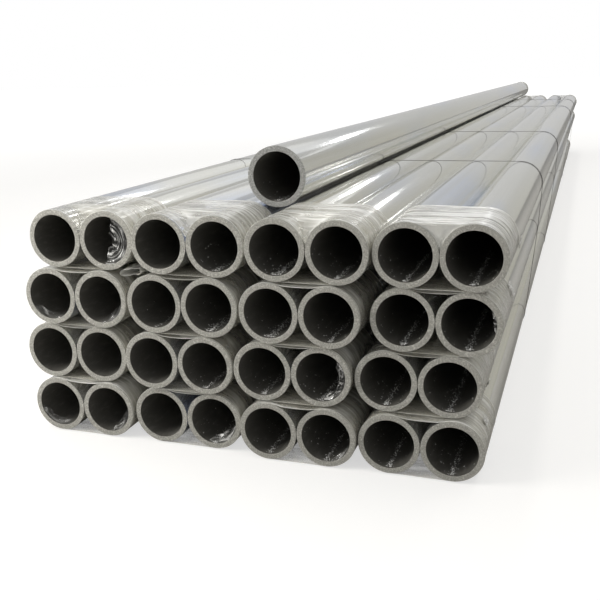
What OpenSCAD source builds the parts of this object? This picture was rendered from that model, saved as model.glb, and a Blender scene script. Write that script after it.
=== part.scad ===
// Bundle of round aluminium tubes with one loose tube on top.
// The tubes lie along Y. Each side-by-side pair is wound with stretch film at both
// ends, and wire ties go round the whole bundle. The origin is at the floor, under
// the middle of the bundle's outline.

/* [Tubes] */
// Outside diameter of the stacked tubes
tube_od = 110; // [60:1:160]
// Wall thickness of the stacked tubes
tube_wall = 10; // [3:0.5:20]
// Sawn length of every tube
tube_length = 5800; // [4400:50:6500]

/* [Stack] */
// Rows of tubes, counted up from the floor
rows = 4; // [2:1:4]
// Film-wrapped pairs side by side in a row
pairs = 4; // [2:1:4]
// Gap between the two tubes of a pair
tube_gap = 0.3; // [0.1:0.1:3]
// Clearance between a tube and whatever is wrapped round it or lies on it
seat_gap = 0.15; // [0.1:0.05:1]
// How far a sloppily pushed row stands to the right of the row below it
row_lean = 13; // [0:1:20]
// Widest gap left between two neighbouring pairs of a row
stray_gap = 11; // [0:1:20]
// Furthest that a pair is pushed back from the front of the bundle
stray_setback = 20; // [0:1:60]

/* [Loose tube] */
// Outside diameter of the loose tube, a little more than that of the others
loose_od = 116; // [60:1:160]
// Wall thickness of the loose tube
loose_wall = 11; // [3:0.5:20]
// Pair whose right-hand side the loose tube lies against
loose_after_pair = 2; // [1:1:3]
// Distance from the bundle's front to the loose tube's front end
loose_setback = 175; // [100:5:600]
// How far the taut ties hold the loose tube up above the valley
loose_lift = 2; // [0:0.5:12]

/* [Stretch film] */
// Thickness of the many turns of film, pressed together
film_t = 1.3; // [0.6:0.1:3]
// Length of a wound band, measured along the tubes
film_length = 165; // [60:5:400]
// Bare tube left between a tube's end and its film
film_margin = 6; // [0:1:40]

/* [Tie wires] */
// Diameter of the tie wire
wire_d = 1.2; // [0.8:0.1:3]
// Distance from each end of the bundle to the outer tie
outer_tie = 900; // [600:10:1100]
// Distance from each end of the bundle to the inner tie
inner_tie = 1910; // [1200:10:2100]

/* [Hidden] */
$fn = 96;
tube_r = tube_od / 2;
tube_pitch = tube_od + tube_gap;
wrap = seat_gap + max(film_t, wire_d);
shell_r = tube_r + wrap;
row_pitch = 2 * shell_r + seat_gap;
pair_pitch = tube_pitch + 2 * shell_r + seat_gap;
wire_r = tube_r + seat_gap + wire_d / 2;
loose_r = loose_od / 2;
loose_wire_r = loose_r + seat_gap + wire_d / 2;
film_clearance = 4;
run_bite = 0.4;

// How a real crew left the pieces, row by row from the floor, as shares of the strays above
LEANS = [0.4, 0, 1.1, 2.7];
GAPS = [[0.2, 0.1, 0], [0, 0, 0.1], [0.2, 0.3, 0.9], [0, 0, 0.1]];
SETBACKS = [[0.8, 1, 0.3, 0.6], [0.9, 0.5, 0.5, 1], [0.5, 0.3, 0, 0.8], [0.7, 0.2, 0, 0.3]];

function total(list, count) = count == 0 ? 0 : list[count - 1] + total(list, count - 1);
function pair_x(row, pair) = pair * pair_pitch + row_lean * LEANS[row] + stray_gap * total(GAPS[row], pair);
function raw_x(row, tube) = pair_x(row, floor(tube / 2)) + (tube % 2 - 0.5) * tube_pitch;
function raw_front(row, pair) = stray_setback * SETBACKS[row][pair];

// The outline of the whole bundle, which the origin is centred in
last = 2 * pairs - 1;
left_edge = min([for (row = [0 : rows - 1]) raw_x(row, 0)]) - shell_r;
right_edge = max([for (row = [0 : rows - 1]) raw_x(row, last)]) + shell_r;
fronts = [for (row = [0 : rows - 1], pair = [0 : pairs - 1]) raw_front(row, pair)];
front_edge = min(fronts);
back_edge = max(max(fronts), loose_setback) + tube_length;
mid_x = (left_edge + right_edge) / 2;
mid_y = (front_edge + back_edge) / 2;

function tube_x(row, tube) = raw_x(row, tube) - mid_x;
function tube_z(row) = shell_r + row * row_pitch;
function front_y(row, pair) = raw_front(row, pair) - mid_y;

// The loose tube lies over the valley between two pairs of the top row
top = rows - 1;
valley_pair = min(loose_after_pair, pairs - 1);
valley_left = [tube_x(top, 2 * valley_pair - 1), tube_z(top)];
valley_right = [tube_x(top, 2 * valley_pair), tube_z(top)];
valley_half = (valley_right[0] - valley_left[0]) / 2;
valley_reach = shell_r + seat_gap + loose_r;
loose_rise = sqrt(valley_reach * valley_reach - valley_half * valley_half) + loose_lift;
loose = (valley_left + valley_right) / 2 + [0, loose_rise];
loose_y = loose_setback - mid_y;
// Its film is wound on the stretch that stands out behind the film of the bundle
loose_film_length = min(film_length, loose_setback - stray_setback - film_clearance);

// A tie follows the outermost tubes of each side, as a belt follows its pulleys
right_side = [for (row = [0 : top]) [tube_x(row, last), tube_z(row)]];
left_side = [for (row = [0 : top]) [tube_x(row, 0), tube_z(row)]];
function turn(a, b, c) = (b[0] - a[0]) * (c[1] - a[1]) - (b[1] - a[1]) * (c[0] - a[0]);
function stands_proud(side, i, way) =
    len([for (a = [0 : 1 : i - 1], b = [i + 1 : 1 : top]) if (way * turn(side[a], side[i], side[b]) <= 0) 1]) == 0;
function proud(side, way) = [for (i = [0 : top]) if (stands_proud(side, i, way)) side[i]];
function reversed(list) = [for (i = [len(list) - 1 : -1 : 0]) list[i]];
corners = concat(proud(right_side, 1), reversed(proud(left_side, -1)));
function outward(a, b) = atan2(b[1] - a[1], b[0] - a[0]) - 90;
function ahead(from, to) = to < from - 0.001 ? ahead(from, to + 360) : to;

// Each stop of a belt is a pulley's centre, the two angles between which the wire lies on it and
// the radius of the wire's middle there
function corner_stop(i) =
    let (n = len(corners), from = outward(corners[(i + n - 1) % n], corners[i]))
    [corners[i], from, ahead(from, outward(corners[i], corners[(i + 1) % n])), wire_r];
right_count = len(proud(right_side, 1));
loose_reach = norm(loose - valley_left);
leave_angle = atan2(loose_rise, valley_half) + acos(min(1, (wire_r + loose_wire_r) / loose_reach));
dip = [
    [valley_right, 90, 180 - leave_angle, wire_r],
    [loose, 360 - leave_angle, 180 + leave_angle, loose_wire_r],
    [valley_left, leave_angle, 90, wire_r]
];
stops = concat(
    [for (i = [0 : right_count - 1]) corner_stop(i)],
    dip,
    [for (i = [right_count : len(corners) - 1]) corner_stop(i)]
);
function rim(stop, angle) = stop[0] + stop[3] * [cos(angle), sin(angle)];

ties = [
    front_edge + outer_tie, front_edge + inner_tie,
    front_edge + tube_length - inner_tie, front_edge + tube_length - outer_tie
];

ROW_NAMES = [for (row = [1 : rows]) str("row_", row)];
TUBES = [for (row = [0 : top], tube = [0 : last]) str("tube_", ROW_NAMES[row], "_", tube + 1)];
FILMS = [for (row = [0 : top], pair = [0 : pairs - 1]) str("film_", ROW_NAMES[row], "_pair_", pair + 1)];
TIES = [for (tie = [1 : len(ties)]) str("tie_wire_", tie)];

module bare_tube(radius, wall) {
    rotate([-90, 0, 0])
        difference() {
            cylinder(h = tube_length, r = radius);
            translate([0, 0, -1]) cylinder(h = tube_length + 2, r = radius - wall);
        }
}

module stacked_tube(row, tube) {
    color("silver")
        translate([tube_x(row, tube), front_y(row, floor(tube / 2)), tube_z(row)])
            bare_tube(tube_r, tube_wall);
}

module loose_tube() {
    color("silver") translate([loose[0], loose_y, loose[1]]) bare_tube(loose_r, loose_wall);
}

// Outline of a band stretched round tubes that stand the given distance apart
module oblong(radius, spread) {
    union() {
        for (side = [-1, 1]) translate([side * spread / 2, 0]) circle(r = radius);
        if (spread > 0) square([spread, 2 * radius], center = true);
    }
}

module film_band(radius, spread, length) {
    inside = radius + seat_gap;
    rotate([90, 0, 0]) translate([0, 0, -length])
        linear_extrude(height = length)
            difference() {
                oblong(inside + film_t, spread);
                oblong(inside, spread);
            }
}

module pair_film(row, pair) {
    middle = (tube_x(row, 2 * pair) + tube_x(row, 2 * pair + 1)) / 2;
    color("whitesmoke")
        for (start = [film_margin, tube_length - film_margin - film_length])
            translate([middle, front_y(row, pair) + start, tube_z(row)])
                film_band(tube_r, tube_pitch, film_length);
}

module loose_tube_film() {
    color("whitesmoke")
        translate([loose[0], loose_y + tube_length - film_margin - loose_film_length, loose[1]])
            film_band(loose_r, 0, loose_film_length);
}

module wire_bend(stop) {
    start = min(stop[1], stop[2]);
    translate(stop[0]) rotate([0, 0, start])
        rotate_extrude(angle = abs(stop[2] - stop[1])) translate([stop[3], 0]) circle(d = wire_d, $fn = 24);
}

// A straight run is a hair thinner than the bends, so that its ends sink cleanly into them
module wire_run(from, to) {
    reach = to - from;
    translate(from) rotate([0, 0, atan2(reach[1], reach[0])]) rotate([0, 90, 0])
        translate([0, 0, -run_bite])
            cylinder(h = norm(reach) + 2 * run_bite, d = 0.98 * wire_d, $fn = 24);
}

module tie_wire(tie) {
    color("dimgray") translate([0, ties[tie] - mid_y, 0]) rotate([90, 0, 0])
        union() {
            for (stop = stops) wire_bend(stop);
            for (i = [0 : len(stops) - 1]) {
                next = stops[(i + 1) % len(stops)];
                wire_run(rim(stops[i], stops[i][2]), rim(next, next[1]));
            }
        }
}

for (row = [0 : top], tube = [0 : last])
    stacked_tube(row, tube);
for (row = [0 : top], pair = [0 : pairs - 1])
    pair_film(row, pair);
for (tie = [0 : len(ties) - 1])
    tie_wire(tie);
loose_tube();
loose_tube_film();
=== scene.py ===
"""Looks of a bundle of aluminium tubes: sawn tubes, wound film, tie wire, swarf and the studio."""
import math
import random

import bmesh
import bpy
from mathutils import Matrix, Vector, noise


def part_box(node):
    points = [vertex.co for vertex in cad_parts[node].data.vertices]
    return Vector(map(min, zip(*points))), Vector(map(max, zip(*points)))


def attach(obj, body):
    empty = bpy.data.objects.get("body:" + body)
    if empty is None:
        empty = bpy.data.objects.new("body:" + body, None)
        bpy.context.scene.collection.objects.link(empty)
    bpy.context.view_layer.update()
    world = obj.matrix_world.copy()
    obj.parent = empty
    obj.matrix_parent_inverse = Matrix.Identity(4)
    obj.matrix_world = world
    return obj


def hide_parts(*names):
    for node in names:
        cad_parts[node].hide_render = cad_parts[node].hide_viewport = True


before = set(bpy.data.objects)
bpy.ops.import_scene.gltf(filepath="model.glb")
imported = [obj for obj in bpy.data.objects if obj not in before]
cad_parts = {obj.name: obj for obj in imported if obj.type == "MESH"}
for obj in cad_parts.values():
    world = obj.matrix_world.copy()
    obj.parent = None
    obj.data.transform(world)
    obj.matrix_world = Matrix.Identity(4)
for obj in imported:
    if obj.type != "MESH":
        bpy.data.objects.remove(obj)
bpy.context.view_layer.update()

MM = 0.001
ACROSS = Matrix.Rotation(math.pi / 2, 3, "X")

TUBES = sorted(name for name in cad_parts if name.startswith("tube_row_"))
WRAPS = sorted(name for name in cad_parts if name.startswith("film_row_"))
TIES = sorted(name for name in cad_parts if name.startswith("tie_wire_"))
TOP_ROW = max(int(name.split("_")[2]) for name in TUBES)

# Tubes
WALL = 10 * MM
LOOSE_WALL = 11 * MM
OUTER_BREAK = 0.5 * MM
INNER_BREAK = 0.8 * MM
TUBE_STEPS = 96

# Wound film
FILM_CLEARANCE = 0.25 * MM
FOLD_HEIGHT = 1.0 * MM
LINING = 0.1 * MM
FRONT_REACH = 5 * MM
SAG_REACH = 34 * MM
SAG_FLOOR = 12 * MM
LOWER_SAG = 6 * MM
HEM = 2.5 * MM
OUTER_STRAY = 2 * MM
INNER_STRAY = 11 * MM
STRAY_FADE = 12 * MM

# Loose film
FILM_SKIN = 0.15 * MM
RIM_INSET = 0.5 * MM
TAIL_RADIUS = 5.5 * MM
TAIL_SPREAD = 27 * MM
TAIL_LENGTH = 62 * MM

# Swarf, and the twisted ends of a tie
CHIP_SKIN = 0.14 * MM
TWIST_LENGTH = 46 * MM
TWIST_TURNS = 6
TWIST_STEPS = 96
TWIST_INSET_RADII = 1.4


def tube_place(node):
    """Place of a tube's axis across the bundle, its radius and the stations of its two ends."""
    low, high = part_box(node)
    return (low.x + high.x) / 2, (low.z + high.z) / 2, (high.z - low.z) / 2, low.y, high.y


def wall_of(node):
    return LOOSE_WALL if node == "loose_tube" else WALL


def stations(node):
    """The places along the bundle where a wound band starts or stops."""
    return sorted({round(v.co.y, 4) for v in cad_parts[node].data.vertices})


# ---------------------------------------------------------------- finishes

class Finish:
    """A material under construction, with short ways to add and wire its nodes."""

    def __init__(self, name):
        self.material = bpy.data.materials.new(name)
        self.material.use_nodes = True
        self.tree = self.material.node_tree
        self.surface = self.tree.nodes["Principled BSDF"]

    def node(self, kind, inputs=None, **settings):
        made = self.tree.nodes.new("ShaderNode" + kind)
        for key, value in settings.items():
            setattr(made, key, value)
        for key, value in (inputs or {}).items():
            self.feed(made.inputs[key], value)
        return made

    def feed(self, socket, value):
        if isinstance(value, bpy.types.NodeSocket):
            self.tree.links.new(value, socket)
        else:
            socket.default_value = value

    def set(self, **sockets):
        for name, value in sockets.items():
            self.feed(self.surface.inputs[name.replace("_", " ")], value)

    def place(self, scale):
        """Object coordinates stretched by the given scales."""
        where = self.node("TexCoord").outputs["Object"]
        return self.node("Mapping", {"Vector": where, "Scale": scale}).outputs["Vector"]

    def speckle(self, scale, detail=3.0, roughness=0.5):
        """Noise on Object coordinates, from 0 to 1."""
        texture = self.node("TexNoise", {
            "Vector": self.place(scale), "Scale": 1.0, "Detail": detail, "Roughness": roughness})
        return texture.outputs["Fac"]

    def ramp(self, value, stops):
        """Colours or greys laid along a value; each stop is (place, colour)."""
        made = self.node("ValToRGB", {"Fac": value})
        band = made.color_ramp.elements
        while len(band) < len(stops):
            band.new(0.5)
        for element, (place, colour) in zip(band, stops):
            element.position = place
            element.color = colour if len(colour) == 4 else (*colour, 1.0)
        return made.outputs["Color"]

    def grey_ramp(self, value, low, high, start=0.3, stop=0.7):
        made = self.node("MapRange", {
            "Value": value, "From Min": start, "From Max": stop, "To Min": low, "To Max": high})
        return made.outputs["Result"]

    def blend(self, share, first, second, kind="MIX"):
        made = self.node("Mix", data_type="RGBA", blend_type=kind)
        self.feed(made.inputs[0], share)
        self.feed(made.inputs[6], first if not isinstance(first, tuple) else (*first, 1.0))
        self.feed(made.inputs[7], second if not isinstance(second, tuple) else (*second, 1.0))
        return made.outputs[2]

    def sum(self, first, second, operation="ADD"):
        made = self.node("Math", operation=operation)
        self.feed(made.inputs[0], first)
        self.feed(made.inputs[1], second)
        return made.outputs[0]

    def bump(self, height, distance, strength=1.0, under=None):
        inputs = {"Height": height, "Distance": distance, "Strength": strength}
        if under is not None:
            inputs["Normal"] = under
        return self.node("Bump", inputs).outputs["Normal"]


def mill_finish():
    """Outside of an extruded tube: lengthwise die lines, handling haze, faint tints and painted
    shade streaks.
    """
    f = Finish("mill_finish_aluminium")
    lines = f.speckle((260, 0.5, 260), detail=4)
    haze = f.speckle((9, 1.6, 9), detail=5, roughness=0.6)
    scuffs = f.speckle((70, 14, 70), detail=6, roughness=0.7)
    tint = f.speckle((5, 0.7, 5), detail=2)
    streaks = f.speckle((34, 0.22, 34), detail=3, roughness=0.45)
    waves = f.speckle((26, 11, 26), detail=2, roughness=0.4)
    metal = f.ramp(tint, [
        (0.32, (0.74, 0.80, 0.96)), (0.44, (0.89, 0.89, 0.88)), (0.58, (0.89, 0.885, 0.84)),
        (0.70, (0.74, 0.80, 0.96))])
    # Darker lengthwise streaks painted into the colour are painted shade: they stand in for dark
    # surroundings mirrored along the tube.
    metal_with_painted_streaks = f.blend(f.grey_ramp(streaks, 0.0, 0.4, 0.50, 0.66), metal, (0.74, 0.74, 0.71))
    worn = f.blend(f.grey_ramp(lines, 0.0, 0.4), metal_with_painted_streaks, (0.80, 0.80, 0.78))
    relief = f.bump(streaks, 0.15 * MM, 0.5, f.bump(waves, 0.4 * MM, 0.5))
    f.set(
        Base_Color=f.blend(f.grey_ramp(scuffs, 0.0, 0.3, 0.55, 0.75), worn, (0.88, 0.88, 0.86)),
        Metallic=0.85,
        Roughness=f.sum(f.grey_ramp(haze, 0.04, 0.12), f.grey_ramp(lines, 0.0, 0.03)),
        Specular_Tint=(0.95, 0.95, 0.93, 1.0),
        Anisotropic=0.3,
        Tangent=f.node("Tangent", direction_type="UV_MAP", uv_map="wrap").outputs["Tangent"],
        Normal=f.bump(scuffs, 0.05 * MM, 0.5, f.bump(lines, 0.03 * MM, 0.35, relief)))
    return f.material


def sawn_finish(name, bright, dark, glint):
    """Sawn end of a tube: fine saw lines and a granular glint painted into its colour."""
    f = Finish(name)
    grain = f.speckle((700, 700, 700), detail=3)
    patches = f.speckle((330, 330, 330), detail=4)
    saw = f.node("TexWave", {
        "Vector": f.place((1.0, 1.0, 0.55)), "Scale": 420.0, "Distortion": 3.0, "Detail": 2.0,
        "Detail Scale": 40.0}).outputs["Fac"]
    metal = f.blend(f.grey_ramp(grain, 0.0, 1.0, 0.35, 0.65), bright, dark)
    f.set(
        # The lighter patches in the colour are a painted glint.
        Base_Color=f.blend(f.grey_ramp(patches, 0.0, 0.7, 0.5, 0.68), metal, glint),
        Metallic=0.25,
        Roughness=f.grey_ramp(patches, 0.42, 0.62),
        Normal=f.bump(grain, 0.12 * MM, 0.8, f.bump(saw, 0.06 * MM, 0.5)))
    return f.material


def bore_finish():
    """Inside of a tube: dull and a little dusty, its colour painted dark as the shade deep in the
    bore.
    """
    f = Finish("dull_bore_painted_shade")
    dust = f.speckle((160, 40, 160), detail=5, roughness=0.65)
    lines = f.speckle((320, 1.0, 320), detail=3)
    f.set(
        # The dark base colour is painted shade of the deep bore; the lighter speckle is dust.
        Base_Color=f.blend(
            f.grey_ramp(dust, 0.0, 0.5, 0.5, 0.75), (0.14, 0.135, 0.12), (0.30, 0.29, 0.27)),
        Metallic=0.35,
        Roughness=f.grey_ramp(dust, 0.38, 0.62),
        Normal=f.bump(lines, 0.05 * MM, 0.4))
    return f.material


def film_finish(name, clear, packed, tone=(0.64, 0.62, 0.54), haze=0.35):
    """Clear stretch film: see-through where it lies flat, whiter where its turns gather; that white
    is partly the bunched film's own and partly painted highlight.
    """
    f = Finish(name)
    gathered = f.node("Attribute", attribute_name="gather").outputs["Fac"]
    cloud = f.speckle((14, 40, 14), detail=4, roughness=0.6)
    threads = f.speckle((30, 520, 30), detail=4, roughness=0.6)
    creases = f.speckle((130, 300, 130), detail=5, roughness=0.65)
    body = f.sum(gathered, f.grey_ramp(cloud, 0.0, haze, 0.35, 0.7))
    f.set(
        # The white laid on where turns gather is partly the film's own and partly painted highlight
        # along the crests.
        Base_Color=f.blend(f.grey_ramp(body, 0.0, 1.0, 0.1, 1.0), tone, (0.97, 0.97, 0.94)),
        Roughness=f.grey_ramp(cloud, 0.08, 0.26),
        Specular_IOR_Level=0.6,
        Coat_Weight=0.5,
        Coat_Roughness=0.08,
        Alpha=f.grey_ramp(body, clear, packed, 0.05, 0.9),
        Normal=f.bump(
            creases, 0.5 * MM, f.grey_ramp(gathered, 0.2, 0.7, 0.1, 0.6),
            f.bump(threads, 0.4 * MM, f.grey_ramp(gathered, 0.25, 0.9, 0.1, 0.6))))
    return f.material


def wire_finish():
    """Dark annealed tie wire with a dull oily gloss."""
    f = Finish("annealed_wire")
    scale = f.speckle((300, 900, 300), detail=3)
    f.set(
        Base_Color=f.blend(
            f.grey_ramp(scale, 0.0, 1.0), (0.018, 0.017, 0.016), (0.055, 0.050, 0.046)),
        Metallic=0.5,
        Roughness=f.grey_ramp(scale, 0.42, 0.62),
        Normal=f.bump(scale, 0.05 * MM, 0.5))
    return f.material


def swarf_finish():
    """Bright curled chips from the saw, with glints painted into their colour."""
    f = Finish("saw_swarf")
    glint = f.speckle((700, 700, 700), detail=2)
    f.set(
        # The whitest specks in the colour are painted glints.
        Base_Color=f.blend(f.grey_ramp(glint, 0.0, 1.0), (0.66, 0.66, 0.64), (0.98, 0.98, 0.96)),
        Metallic=0.2,
        Roughness=f.grey_ramp(glint, 0.25, 0.5),
        Normal=f.bump(glint, 0.1 * MM, 0.6))
    return f.material


# ---------------------------------------------------------------- making pieces

def finished_piece(name, bm, materials, sharp_degrees=15):
    """Turns a built mesh into a shown piece that rides with the bundle."""
    mesh = bpy.data.meshes.new(name)
    bm.to_mesh(mesh)
    bm.free()
    for material in materials:
        mesh.materials.append(material)
    mesh.shade_smooth()
    mesh.set_sharp_from_angle(angle=math.radians(sharp_degrees))
    piece = bpy.data.objects.new(name, mesh)
    bpy.context.scene.collection.objects.link(piece)
    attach(piece, "root")
    return piece


def wrap_uv(bm, x, z):
    """A UV map whose first direction runs round the tube's axis and whose second runs along it."""
    layer = bm.loops.layers.uv.new("wrap")
    for face in bm.faces:
        centre = face.calc_center_median()
        home = math.atan2(centre.z - z, centre.x - x)
        for corner in face.loops:
            at = corner.vert.co
            turn = math.atan2(at.z - z, at.x - x) - home
            turn = (turn + math.pi) % (2 * math.pi) - math.pi
            corner[layer].uv = ((home + turn) / (2 * math.pi), at.y)


def sawn_tube(node, finishes):
    """A tube spun from its wall, with broken edges and its own finish on outside, ends and bore."""
    x, z, radius, front, back = tube_place(node)
    bore = radius - wall_of(node)
    bm = bmesh.new()
    corners = [(bore, front), (radius, front), (radius, back), (bore, back)]
    wall = [bm.verts.new((x + reach, y, z)) for reach, y in corners]
    wall += [bm.edges.new((wall[i], wall[(i + 1) % 4])) for i in range(4)]
    bmesh.ops.spin(
        bm, geom=wall, cent=(x, 0, z), axis=(0, 1, 0), angle=2 * math.pi, steps=TUBE_STEPS,
        use_merge=True)
    bmesh.ops.recalc_face_normals(bm, faces=bm.faces)
    middle = (radius + bore) / 2
    rims = [
        e for e in bm.edges
        if abs(e.verts[0].co.y - e.verts[1].co.y) < MM and reach_apart(e, x, z) < MM]
    inner = [e for e in rims if math.hypot(e.verts[0].co.x - x, e.verts[0].co.z - z) < middle]
    outer = [e for e in rims if math.hypot(e.verts[0].co.x - x, e.verts[0].co.z - z) > middle]
    for edges, width in ((outer, OUTER_BREAK), (inner, INNER_BREAK)):
        bmesh.ops.bevel(
            bm, geom=edges, offset=width, offset_type="OFFSET", segments=2, profile=0.5,
            affect="EDGES", material=-1)
    for face in bm.faces:
        centre = face.calc_center_median()
        outward = face.normal.x * (centre.x - x) + face.normal.z * (centre.z - z)
        if abs(face.normal.y) > 0.9 or abs(face.normal.y) > 0.3 and outward > 0:
            face.material_index = 1
        elif outward < 0:
            face.material_index = 2
    wrap_uv(bm, x, z)
    piece = finished_piece("sawn_" + node, bm, finishes)
    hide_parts(node)


def reach_apart(edge, x, z):
    """How much further from a tube's axis one end of an edge lies than the other."""
    first, second = (math.hypot(v.co.x - x, v.co.z - z) for v in edge.verts)
    return abs(first - second)


# ---------------------------------------------------------------- wound film

def draw_out(bm, edges, swell, shift, shape):
    """Draws a loop of edges on, swelling it away from the tubes' axes or shifting it along them."""
    x, z, _, spread = shape
    drawn = bmesh.ops.extrude_edge_only(bm, edges=edges)["geom"]
    for item in drawn:
        if isinstance(item, bmesh.types.BMVert):
            spine = Vector((min(max(item.co.x, x - spread / 2), x + spread / 2), item.co.y, z))
            item.co += (item.co - spine).normalized() * swell + Vector((0, shift, 0))
    return [item for item in drawn if isinstance(item, bmesh.types.BMEdge)]


def oblong_sleeve(bm, shape, y_from, y_to, arc_steps, flat_steps, rows):
    """A thin closed sleeve round one or two tubes: a circle pulled apart, drawn out and back."""
    x, z, inner, spread = shape
    loop = bmesh.ops.create_circle(
        bm, cap_ends=False, segments=arc_steps, radius=inner + LINING)["verts"]
    bmesh.ops.rotate(bm, verts=loop, matrix=Matrix.Rotation(math.pi / arc_steps, 3, "Z"))
    bmesh.ops.rotate(bm, verts=loop, matrix=ACROSS)
    for v in loop:
        v.co.x += math.copysign(spread / 2, v.co.x)
    bmesh.ops.translate(bm, verts=loop, vec=(x, y_from, z))
    ring = list({e for v in loop for e in v.link_edges})
    flats = [e for e in ring if (e.verts[0].co.x - x) * (e.verts[1].co.x - x) < 0]
    if spread > 0:
        cut = bmesh.ops.subdivide_edges(bm, edges=flats, cuts=flat_steps - 1)
        ring += [item for item in cut["geom"] if isinstance(item, bmesh.types.BMEdge)]
        ring = list(set(ring))
    near = draw_out(bm, ring, FILM_CLEARANCE - LINING, 0, shape)
    far = draw_out(bm, near, 0, y_to - y_from, shape)
    back = draw_out(bm, far, LINING - FILM_CLEARANCE, 0, shape)
    bmesh.ops.bridge_loops(bm, edges=ring + back)
    skin = {f for e in near for f in e.link_faces} & {f for e in far for f in e.link_faces}
    lining = {f for e in ring for f in e.link_faces} & {f for e in back for f in e.link_faces}
    for faces, count in ((skin, rows), (lining, max(6, rows // 10))):
        long_edges = {
            e for f in faces for e in f.edges if abs(e.verts[0].co.y - e.verts[1].co.y) > MM}
        bmesh.ops.subdivide_edges(bm, edges=list(long_edges), cuts=count - 1, use_grid_fill=True)


def folds(place, seed):
    """Height of the gathered turns at a place on a band, from 0 to about 1."""
    x, y, z = place
    drift = 5 * MM * noise.noise(Vector((4 * x, 2 * y, 4 * z + seed)))
    turns = noise.noise(Vector((5 * x + seed, 62 * (y + drift), 5 * z)))
    cross = noise.noise(Vector((13 * x, 85 * (y + 3 * drift), 13 * z - seed)))
    broad = noise.noise(Vector((7 * x - seed, 24 * y, 7 * z)))
    crest = max(0.0, 1 - 2.6 * abs(turns)) ** 2
    branch = max(0.0, 1 - 3.4 * abs(cross)) ** 2
    swell = 0.5 + 0.5 * broad
    return min(1.0, (0.25 + 0.75 * swell) * (0.62 * crest + 0.42 * branch) + 0.22 * swell)


def wound_band(bm, pair, y_from, y_to, sag, bunched, seed, arc_steps, flat_steps, rows, ends_sign):
    """One closed band of film with folded turns, sagging into the valley at its open end."""
    x, z, inner, spread = pair
    gather = bm.verts.layers.float.get("gather") or bm.verts.layers.float.new("gather")
    old_verts = len(bm.verts)
    oblong_sleeve(bm, pair, y_from, y_to, arc_steps, flat_steps, rows)
    open_end = y_from if ends_sign > 0 else y_to
    bm.verts.ensure_lookup_table()
    for v in bm.verts[old_verts:]:
        spine = Vector((min(max(v.co.x, x - spread / 2), x + spread / 2), v.co.y, z))
        away = v.co - spine
        edge = min(abs(v.co.y - y_from), abs(v.co.y - y_to))
        rise = 0.0
        if away.length > inner + (LINING + FILM_CLEARANCE) / 2:
            hem = math.exp(-((edge / HEM) ** 2))
            # Upward faces carry higher folds and more of the white of gather than the sides, so the
            # band's top is painted lighter, as light from above.
            upright = 0.1 + 0.9 * max(0.0, away.normalized().z) ** 0.7
            rise = min(1.0, upright * folds(v.co, seed) + 0.45 * hem)
        side = 1 if abs(v.co.y - y_from) < abs(v.co.y - y_to) else -1
        outer = abs(v.co.y - open_end) < abs(y_to - y_from) / 2
        depth = OUTER_STRAY if outer else INNER_STRAY
        stray = side * depth * ragged(v.co, seed) * math.exp(-edge / STRAY_FADE)
        dip = sunk(v.co, pair, sag, open_end)
        v.co += away.normalized() * rise * FOLD_HEIGHT + Vector((0, stray, -dip))
        v[gather] = min(1.0, bunched * rise)


def ragged(place, seed):
    """How far a band's edge strays inwards, from 0 to 1."""
    return 0.5 + 0.5 * noise.noise(Vector((16 * place.x + seed, 3.1 * seed, 16 * place.z)))


def sunk(place, pair, sag, open_end):
    """How far the film over the valley between two tubes hangs below its taut line."""
    x, z, inner, spread = pair
    off = abs(place.x - x)
    if spread == 0 or off >= spread / 2 or place.z < z:
        return 0.0
    across = 1 - (2 * off / spread) ** 2.4
    back = math.exp(-((place.y - open_end) / SAG_REACH) ** 2)
    flank = math.sqrt(max(0.0, inner ** 2 - (spread / 2 - off) ** 2))
    return min(sag * across * back, place.z - z - max(flank, SAG_FLOOR) - LINING)


def whiten_creases(bm, fineness, seed):
    """Marks where the creases of a sheet are painted white, as highlight along them."""
    gather = bm.verts.layers.float.new("gather")
    for v in bm.verts:
        fold = noise.noise(Vector((
            fineness * v.co.x + seed, fineness * v.co.y, fineness * v.co.z)))
        v[gather] = 0.25 + 0.75 * max(0.0, 1 - 2.6 * abs(fold)) ** 2


def thicken(bm):
    """Gives a sheet its thickness, and tells the area that it was cut from."""
    cut = sum(face.calc_area() for face in bm.faces)
    bmesh.ops.solidify(bm, geom=bm.faces, thickness=FILM_SKIN)
    bmesh.ops.recalc_face_normals(bm, faces=bm.faces)
    return cut


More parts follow.
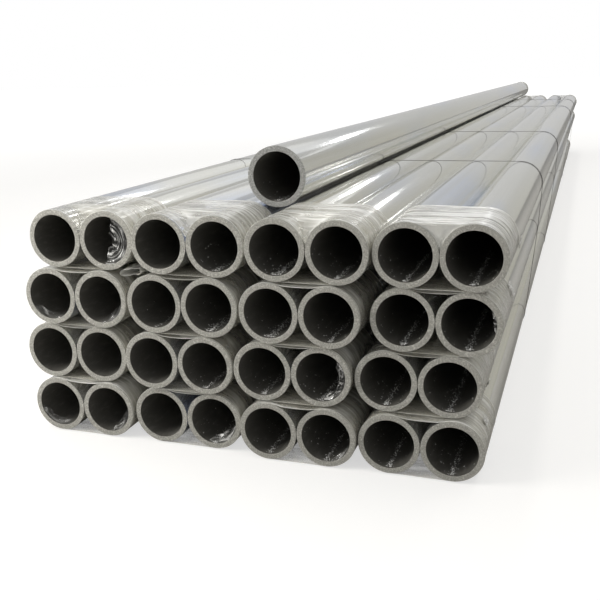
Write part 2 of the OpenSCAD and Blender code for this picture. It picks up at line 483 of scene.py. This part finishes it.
def tucked_film(node, start, stop, widest, ragged_edge, crease_whiteness, wander, seed):
    """Film drawn across part of a mouth, just inside the rim, with creases along its free edge
    painted white as highlight.
    """
    x, z, radius, front, _ = tube_place(node)
    wall = radius - wall_of(node) - RIM_INSET
    middle, half = math.radians((start + stop) / 2), math.radians((stop - start) / 2)
    bm = bmesh.new()
    bmesh.ops.create_grid(bm, x_segments=130, y_segments=40, size=0.5)
    gather = bm.verts.layers.float.new("gather")
    for v in bm.verts:
        along, inward = v.co.x + 0.5, v.co.y + 0.5
        lean = half * (2 * along - 1)
        chord = wall * (1 - math.cos(half) / math.cos(lean))
        nick = 0.5 + 0.5 * noise.noise(Vector((14 * along, seed, 2.0)))
        width = min(1.25 * chord, widest) * (1 - ragged_edge * nick)
        drawn = inward * width / MM
        rank = noise.noise(Vector((wander * along + seed, 0.17 * drawn, seed)))
        fan = noise.noise(Vector((2.5 * wander * along - seed, 0.42 * drawn, 3.3)))
        patch = 0.6 + 0.8 * noise.noise(Vector((7 * along, 0.08 * drawn, seed + 5)))
        fold = max(0.0, 1 - 3.6 * abs(rank)) ** 1.4
        fine = max(0.0, 1 - 4.5 * abs(fan)) ** 2
        deep = 1.2 * MM + inward * (5 * MM + 7 * MM * rank) + 2.5 * MM * fan * inward
        off = wall - inward * width
        turn = middle + lean
        v.co = Vector((x + math.cos(turn) * off, front + deep, z + math.sin(turn) * off))
        fade = min(1.0, (1 - inward) / 0.06)
        v[gather] = min(1.0, crease_whiteness * fade * patch * (1.3 - 0.6 * along) * (fold + 0.55 * fine))
    cut = thicken(bm)
    name = f"tucked_film_{node}_{int(start) % 360}"
    piece = finished_piece(name, bm, [TUCKED_FILM], 60)


def valley_film(pair, front, seed):
    """Film drawn down over the mouth of the valley between two tubes."""
    x, z, radius, spread = pair
    bm = bmesh.new()
    bmesh.ops.create_grid(bm, x_segments=24, y_segments=24, size=0.5)
    gather = bm.verts.layers.float.new("gather")
    for v in bm.verts:
        across, up = 2 * v.co.x, v.co.y + 0.5
        height = radius * (0.12 + 0.86 * up)
        half = spread / 2 - math.sqrt(radius ** 2 - height ** 2) - 0.2 * MM
        ripple = noise.noise(Vector((1.4 * across + seed, 1.8 * up, seed)))
        lean = 5 * MM * (1 - up) + 1.5 * MM * ripple * (1 - abs(across))
        v.co = Vector((x + across * half, front + 2 * MM + lean, z + height))
        v[gather] = 0.20 + 0.25 * ripple + 0.2 * abs(across) ** 6
    cut = thicken(bm)
    piece = finished_piece("valley_film", bm, [LOOSE_FILM], 60)


def film_tail(x, y, z, seed):
    """The loose end of a winding: a flattened, open loop left sticking out between the rows."""
    bm = bmesh.new()
    oblong_sleeve(bm, (x, z, TAIL_RADIUS, TAIL_SPREAD), y, y + TAIL_LENGTH, 24, 16, 40)
    gather = bm.verts.layers.float.new("gather")
    for v in bm.verts:
        lift = noise.noise(Vector((70 * v.co.x + seed, 45 * v.co.y, 70 * v.co.z)))
        slump = noise.noise(Vector((30 * v.co.x, 20 * v.co.y, seed)))
        v[gather] = min(1, 0.25 + max(0, 1 - 3 * abs(lift)) ** 2)
        v.co += Vector((2 * lift, 7 * slump, 3 * lift + 2.5 * slump)) * MM
    bmesh.ops.recalc_face_normals(bm, faces=bm.faces)
    piece = finished_piece("film_tail", bm, [LOOSE_FILM], 50)


def film_scrap(number, node, turn, behind, width, length, seed):
    """A crumpled scrap of film clinging to the outer side of a wound tube."""
    x, z, radius, front, _ = tube_place(node)
    bm = bmesh.new()
    bmesh.ops.create_grid(bm, x_segments=22, y_segments=22, size=0.5)
    for v in bm.verts:
        rough = noise.noise(Vector((6 * v.co.x + seed, 6 * v.co.y, seed)))
        curl = noise.noise(Vector((2.5 * v.co.x - seed, 2.5 * v.co.y, seed + 3)))
        edge = 1 + 0.4 * noise.noise(Vector((3 * v.co.x, 3 * v.co.y, seed + 9)))
        at = math.radians(turn) + v.co.x * width * edge / radius
        crumple = (0.4 + 3.0 * abs(rough) + 4.0 * abs(curl)) * MM
        off = radius + FILM_CLEARANCE + FOLD_HEIGHT + crumple
        station = front + behind + v.co.y * length * edge
        v.co = Vector((x + math.cos(at) * off, station, z + math.sin(at) * off))
    whiten_creases(bm, 300, seed)
    cut = thicken(bm)
    piece = finished_piece(f"film_scrap_{number}", bm, [SCRAP_FILM], 60)


# ---------------------------------------------------------------- swarf and wire ends

def swarf_in(node, trail, strays, spread, seed):
    """Saw chips lying along the lowest line of a bore near its mouth, and a few on its walls."""
    x, z, radius, front, _ = tube_place(node)
    chance = random.Random(seed)
    bm = bmesh.new()
    for number in range(trail + strays):
        if number < trail:
            into = 3 * MM + 0.26 * chance.random() ** 1.9
            turn = math.radians(-90 + chance.gauss(0, spread))
        else:
            into = 4 * MM + 0.10 * chance.random()
            turn = math.radians(-90 + chance.gauss(-18, 38))
        size = chance.uniform(1.1, 3.2) * MM
        chip = bmesh.ops.create_grid(bm, x_segments=3, y_segments=1, size=0.5)["verts"]
        curl = chance.uniform(1.2, 3.4)
        for v in chip:
            v.co = Vector((
                math.sin(curl * v.co.x) / curl, 0.4 * v.co.y, (1 - math.cos(curl * v.co.x)) / curl))
        spin = Matrix.Rotation(chance.uniform(0, 6.28), 3, "Z") @ Matrix.Rotation(
            chance.uniform(-0.7, 0.7), 3, "X")
        bmesh.ops.transform(bm, matrix=(spin * size).to_4x4(), verts=chip)
        bmesh.ops.rotate(bm, verts=chip, matrix=Matrix.Rotation(-turn - math.pi / 2, 3, "Y"))
        reach = radius - wall_of(node) - 0.45 * size
        spot = (x + math.cos(turn) * reach, front + into, z + math.sin(turn) * reach)
        bmesh.ops.translate(bm, verts=chip, vec=spot)
    bmesh.ops.solidify(bm, geom=bm.faces, thickness=CHIP_SKIN)
    bmesh.ops.recalc_face_normals(bm, faces=bm.faces)
    finished_piece("swarf_" + node, bm, [SWARF], 40)


def twisted_ends(node, low, high):
    """The two ends of a tie, twisted together and laid along the bundle between two rows."""
    y = sum(corner.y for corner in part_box(node)) / 2
    wire = (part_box(node)[1].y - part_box(node)[0].y) / 2
    first, second = Vector((low[0], low[1])), Vector((high[0], high[1]))
    run = (second - first).normalized()
    spot = (first + second) / 2 + Vector((-run.y, run.x)) * (low[2] - TWIST_INSET_RADII * wire)
    bm = bmesh.new()
    for side in (-1, 1):
        made = bmesh.ops.create_circle(bm, cap_ends=True, segments=10, radius=0.95 * wire)
        bmesh.ops.rotate(bm, verts=made["verts"], matrix=ACROSS)
        bmesh.ops.translate(bm, verts=made["verts"], vec=(spot.x + side * wire, y, spot.y))
        loop = list({f for v in made["verts"] for f in v.link_faces})
        bmesh.ops.spin(
            bm, geom=loop, cent=(spot.x, y, spot.y), axis=(0, 1, 0),
            dvec=(0, TWIST_LENGTH / TWIST_STEPS, 0), angle=2 * math.pi * TWIST_TURNS,
            steps=TWIST_STEPS, use_merge=False)
    bmesh.ops.recalc_face_normals(bm, faces=bm.faces)
    finished_piece("twisted_ends_" + node, bm, [WIRE], 40)


# ---------------------------------------------------------------- build the bundle

MILL = mill_finish()
SAWN = sawn_finish("sawn_aluminium", (0.49, 0.48, 0.435), (0.24, 0.235, 0.21), (0.67, 0.66, 0.61))
DULL_SAWN = sawn_finish(
    "dull_sawn_aluminium", (0.39, 0.39, 0.375), (0.18, 0.18, 0.17), (0.56, 0.56, 0.54))
BORE = bore_finish()
WRAP_FILM = film_finish("wound_film", clear=0.26, packed=0.92)
LOOSE_FILM = film_finish("loose_film", clear=0.35, packed=0.95, tone=(0.66, 0.65, 0.60))
# The tucked film's greyer tone is painted shade of the mouth it hangs in.
TUCKED_FILM = film_finish(
    "tucked_film", clear=0.02, packed=0.92, tone=(0.40, 0.40, 0.39), haze=0.10)
# The scrap film's whiter tone is painted highlight.
SCRAP_FILM = film_finish("scrap_film", clear=0.1, packed=1.0, tone=(0.80, 0.79, 0.76), haze=0.1)
WIRE = wire_finish()
SWARF = swarf_finish()

for node in TUBES:
    sawn_tube(node, [MILL, SAWN, BORE])
sawn_tube("loose_tube", [MILL, DULL_SAWN, BORE])

SAGS = {1: 36 * MM, 2: 40 * MM, 3: 42 * MM, 4: 5 * MM}
BUNCHED = {1: 1.0, 2: 1.05, 3: 1.1, 4: 1.7}
for number, node in enumerate(WRAPS):
    row, pair = int(node.split("_")[2]), int(node.split("_")[4])
    left = tube_place(f"tube_row_{row}_{2 * pair - 1}")
    right = tube_place(f"tube_row_{row}_{2 * pair}")
    shape = ((left[0] + right[0]) / 2, left[1], left[2], right[0] - left[0])
    near_from, near_to, far_from, far_to = stations(node)
    near_from -= FRONT_REACH
    far_to += FRONT_REACH
    fine = row == TOP_ROW
    bm = bmesh.new()
    near_sag = SAGS[pair] if fine else LOWER_SAG
    far_sag = SAGS[5 - pair] if fine else LOWER_SAG
    wound_band(
        bm, shape, near_from, near_to, near_sag, BUNCHED[pair] if fine else 1.0, 3.7 * number,
        arc_steps=64, flat_steps=20 if fine else 12, rows=132 if fine else 60, ends_sign=1)
    wound_band(
        bm, shape, far_from, far_to, far_sag, 1.0, 3.7 * number + 50,
        arc_steps=48, flat_steps=12, rows=60, ends_sign=-1)
    bmesh.ops.recalc_face_normals(bm, faces=bm.faces)
    wrap = finished_piece("wound_" + node, bm, [WRAP_FILM], 50)
    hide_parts(node)

x, z, radius, _, _ = tube_place("loose_tube")
bm = bmesh.new()
film_from, film_to = stations("loose_tube_film")
wound_band(
    bm, (x, z, radius, 0.0), film_from, film_to, 0.0, 1.0, 7.7, arc_steps=72, flat_steps=1, rows=66,
    ends_sign=-1)
bmesh.ops.recalc_face_normals(bm, faces=bm.faces)
wrap = finished_piece("wound_loose_tube_film", bm, [WRAP_FILM], 50)
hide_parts("loose_tube_film")

for node in TIES:
    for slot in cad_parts[node].material_slots:
        slot.material = WIRE
    twisted_ends(node, tube_place("tube_row_3_1"), tube_place("tube_row_4_1"))

# Film drawn across a mouth: from and to, in degrees from the bore's right side, the most it
# reaches inwards, how ragged its edge is, how strongly its creases are painted white as
# highlight, and how waywardly its creases run.
tucked_film("tube_row_4_2", -96, 74, 34 * MM, 0.15, 0.85, 2.4, 1.1)
tucked_film("tube_row_3_1", -155, -60, 12 * MM, 0.1, 0.28, 1.6, 2.3)
tucked_film("tube_row_3_2", -95, -8, 12 * MM, 0.2, 0.36, 1.8, 3.2)
tucked_film("tube_row_1_1", -165, -60, 14 * MM, 0.15, 0.35, 1.8, 4.9)
tucked_film("tube_row_1_2", -88, 8, 14 * MM, 0.25, 0.45, 2.0, 5.4)
tucked_film("tube_row_1_4", -110, -8, 16 * MM, 0.1, 0.8, 2.2, 6.6)
tucked_film("tube_row_2_6", -84, 46, 14 * MM, 0.35, 0.8, 5, 7.3)
tucked_film("tube_row_1_6", -78, -14, 9 * MM, 0.3, 0.5, 2.2, 8.8)
tucked_film("tube_row_3_8", -20, 38, 8 * MM, 0.5, 0.7, 8, 9.5)

film_scrap(1, "tube_row_4_8", -4, 0.172, 16 * MM, 40 * MM, 1.7)
film_scrap(2, "tube_row_4_8", -48, 0.080, 10 * MM, 34 * MM, 2.9)
film_scrap(3, "tube_row_3_8", 22, 0.160, 24 * MM, 22 * MM, 4.4)
film_scrap(4, "tube_row_2_8", -30, 0.110, 12 * MM, 22 * MM, 5.6)
film_scrap(5, "tube_row_1_8", 35, 0.070, 11 * MM, 20 * MM, 6.1)

left, right = tube_place("tube_row_4_7"), tube_place("tube_row_4_8")
valley_film(
    ((left[0] + right[0]) / 2, left[1], left[2], right[0] - left[0]), min(left[3], right[3]),
    3.1)

over, under = tube_place("tube_row_4_2"), tube_place("tube_row_3_3")
film_tail((over[0] + under[0]) / 2, over[3] + 1 * MM, (over[1] + under[1]) / 2, 5.2)

HEAVY_SWARF = ("tube_row_3_4", "tube_row_3_5", "tube_row_4_5")
for node in TUBES:
    row, column = int(node.split("_")[2]), int(node.split("_")[3])
    if node in HEAVY_SWARF:
        swarf_in(node, 300, 20, 6.5, 11 * column + row)
    elif column > 3:
        swarf_in(node, 110 + 8 * column, 24, 3.8, 11 * column + row)
swarf_in("tube_row_3_3", 26, 4, 5.0, 5)
swarf_in("loose_tube", 90, 12, 5.0, 3)

# ---------------------------------------------------------------- studio

def lamp(name, place, target, size, power, colour=(1, 1, 1)):
    light = bpy.data.lights.new(name, "AREA")
    light.shape = "RECTANGLE"
    light.size, light.size_y = size
    light.energy = power
    light.color = colour
    holder = bpy.data.objects.new(name, light)
    bpy.context.scene.collection.objects.link(holder)
    holder.location = place
    holder.rotation_euler = (Vector(target) - Vector(place)).to_track_quat("-Z", "Y").to_euler()
    holder.visible_camera = False


FRONT_TOP = (0, -2.9, 0.5)
for number, across in enumerate((-1.6, 0.0, 1.6)):
    lamp(
        f"roof_strip_{number}", (across, -0.7, 3.8), (across, -0.7, 0), (0.3, 6.6), 34,
        (1.0, 0.99, 0.97))
lamp("low_back_window", (0.22, 6.5, 3.18), FRONT_TOP, (0.8, 0.2), 4)
lamp("low_back_strip", (0.7, 6.55, 3.18), FRONT_TOP, (2.6, 0.22), 0.9)
lamp("high_back_strip", (-1.25, 6.5, 6.05), FRONT_TOP, (3.0, 0.28), 7)
lamp("back_panel", (-1.6, 6.6, 4.6), FRONT_TOP, (5.0, 2.4), 10)
lamp("front_softbox", (-1.5, -3.75, 1.0), (-0.2, -2.9, 0.3), (0.9, 0.7), 24, (1.0, 0.98, 0.94))


def pale_floor():
    bm = bmesh.new()
    bmesh.ops.create_grid(bm, x_segments=1, y_segments=1, size=40)
    bmesh.ops.translate(bm, verts=bm.verts, vec=(0, 0, -1 * MM))
    mesh = bpy.data.meshes.new("floor")
    bm.to_mesh(mesh)
    bm.free()
    f = Finish("pale_floor")
    sight = f.node("LightPath")
    shown = f.sum(sight.outputs["Is Camera Ray"], sight.outputs["Is Transmission Ray"], "MAXIMUM")
    away = f.node("VectorMath", {0: f.place((1, 1, 1))}, operation="LENGTH").outputs["Value"]
    distant = f.grey_ramp(away, 0.60, 0.85, 3.0, 8.0)
    f.set(
        Base_Color=(0.45, 0.44, 0.42, 1.0), Roughness=0.9, Specular_IOR_Level=0.1,
        Emission_Color=(1.0, 1.0, 1.0, 1.0), Emission_Strength=f.sum(shown, distant, "MULTIPLY"))
    mesh.materials.append(f.material)
    floor = bpy.data.objects.new("floor", mesh)
    bpy.context.scene.collection.objects.link(floor)


pale_floor()

world = bpy.data.worlds.new("studio_air")
bpy.context.scene.world = world
world.use_nodes = True
air = world.node_tree


def air_node(kind, inputs, output, **settings):
    made = air.nodes.new("ShaderNode" + kind)
    for key, value in settings.items():
        setattr(made, key, value)
    for key, value in inputs.items():
        if isinstance(value, bpy.types.NodeSocket):
            air.links.new(value, made.inputs[key])
        else:
            made.inputs[key].default_value = value
    return made.outputs[output]


# White where it is seen straight or through film. The polished tubes mirror it darker: palest low
# down, and darkest and warmest to the right, where a hall would be. Its other light is softer.
rays = air.nodes.new("ShaderNodeLightPath").outputs
seen = air_node(
    "Math", {0: rays["Is Camera Ray"], 1: rays["Is Transmission Ray"]}, 0, operation="MAXIMUM")
heading = air_node("SeparateXYZ", {0: air_node("TexCoord", {}, "Generated")}, "X")
hall = air_node("MapRange", {
    "Value": heading, "From Min": 0.03, "From Max": 0.25, "To Min": 0.0, "To Max": 1.0}, "Result")
height = air_node("SeparateXYZ", {0: air_node("TexCoord", {}, "Generated")}, "Z")
haze = air_node("MapRange", {
    "Value": height, "From Min": 0.06, "From Max": 0.18, "To Min": 0.0, "To Max": 1.0}, "Result")
open_side = air_node("Mix", {
    0: haze, 6: (0.58, 0.58, 0.585, 1.0), 7: (0.52, 0.52, 0.515, 1.0)}, 2, data_type="RGBA")
mirrored = air_node("Mix", {0: hall, 6: open_side, 7: (0.43, 0.42, 0.37, 1.0)}, 2, data_type="RGBA")
soft = air_node("Mix", {
    0: rays["Is Glossy Ray"], 6: (0.55, 0.55, 0.55, 1.0), 7: mirrored}, 2, data_type="RGBA")
shown = air_node("Mix", {0: seen, 6: soft, 7: (1.0, 1.0, 1.0, 1.0)}, 2, data_type="RGBA")
air.links.new(shown, air.nodes["Background"].inputs["Color"])
air.nodes["Background"].inputs["Strength"].default_value = 1.0

CAMERA_PLACE = (0.5646, -4.2578, 0.6863)
CAMERA_LOOK = Vector((-0.3192, 0.9089, -0.2684))
CAMERA_RIGHT = Vector((0.9456, 0.3242, -0.0265))
CAMERA_LENS = 49.2

camera = bpy.data.objects.new("camera", bpy.data.cameras.new("camera"))
bpy.context.scene.collection.objects.link(camera)
look = CAMERA_LOOK.normalized()
up = CAMERA_RIGHT.cross(look).normalized()
right = look.cross(up)
turned = Matrix((right, up, -look)).transposed()
camera.matrix_world = Matrix.Translation(CAMERA_PLACE) @ turned.to_4x4()
camera.data.lens = CAMERA_LENS
camera.data.sensor_width = 36.0
bpy.context.scene.camera = camera
bpy.context.scene.view_settings.view_transform = "Standard"
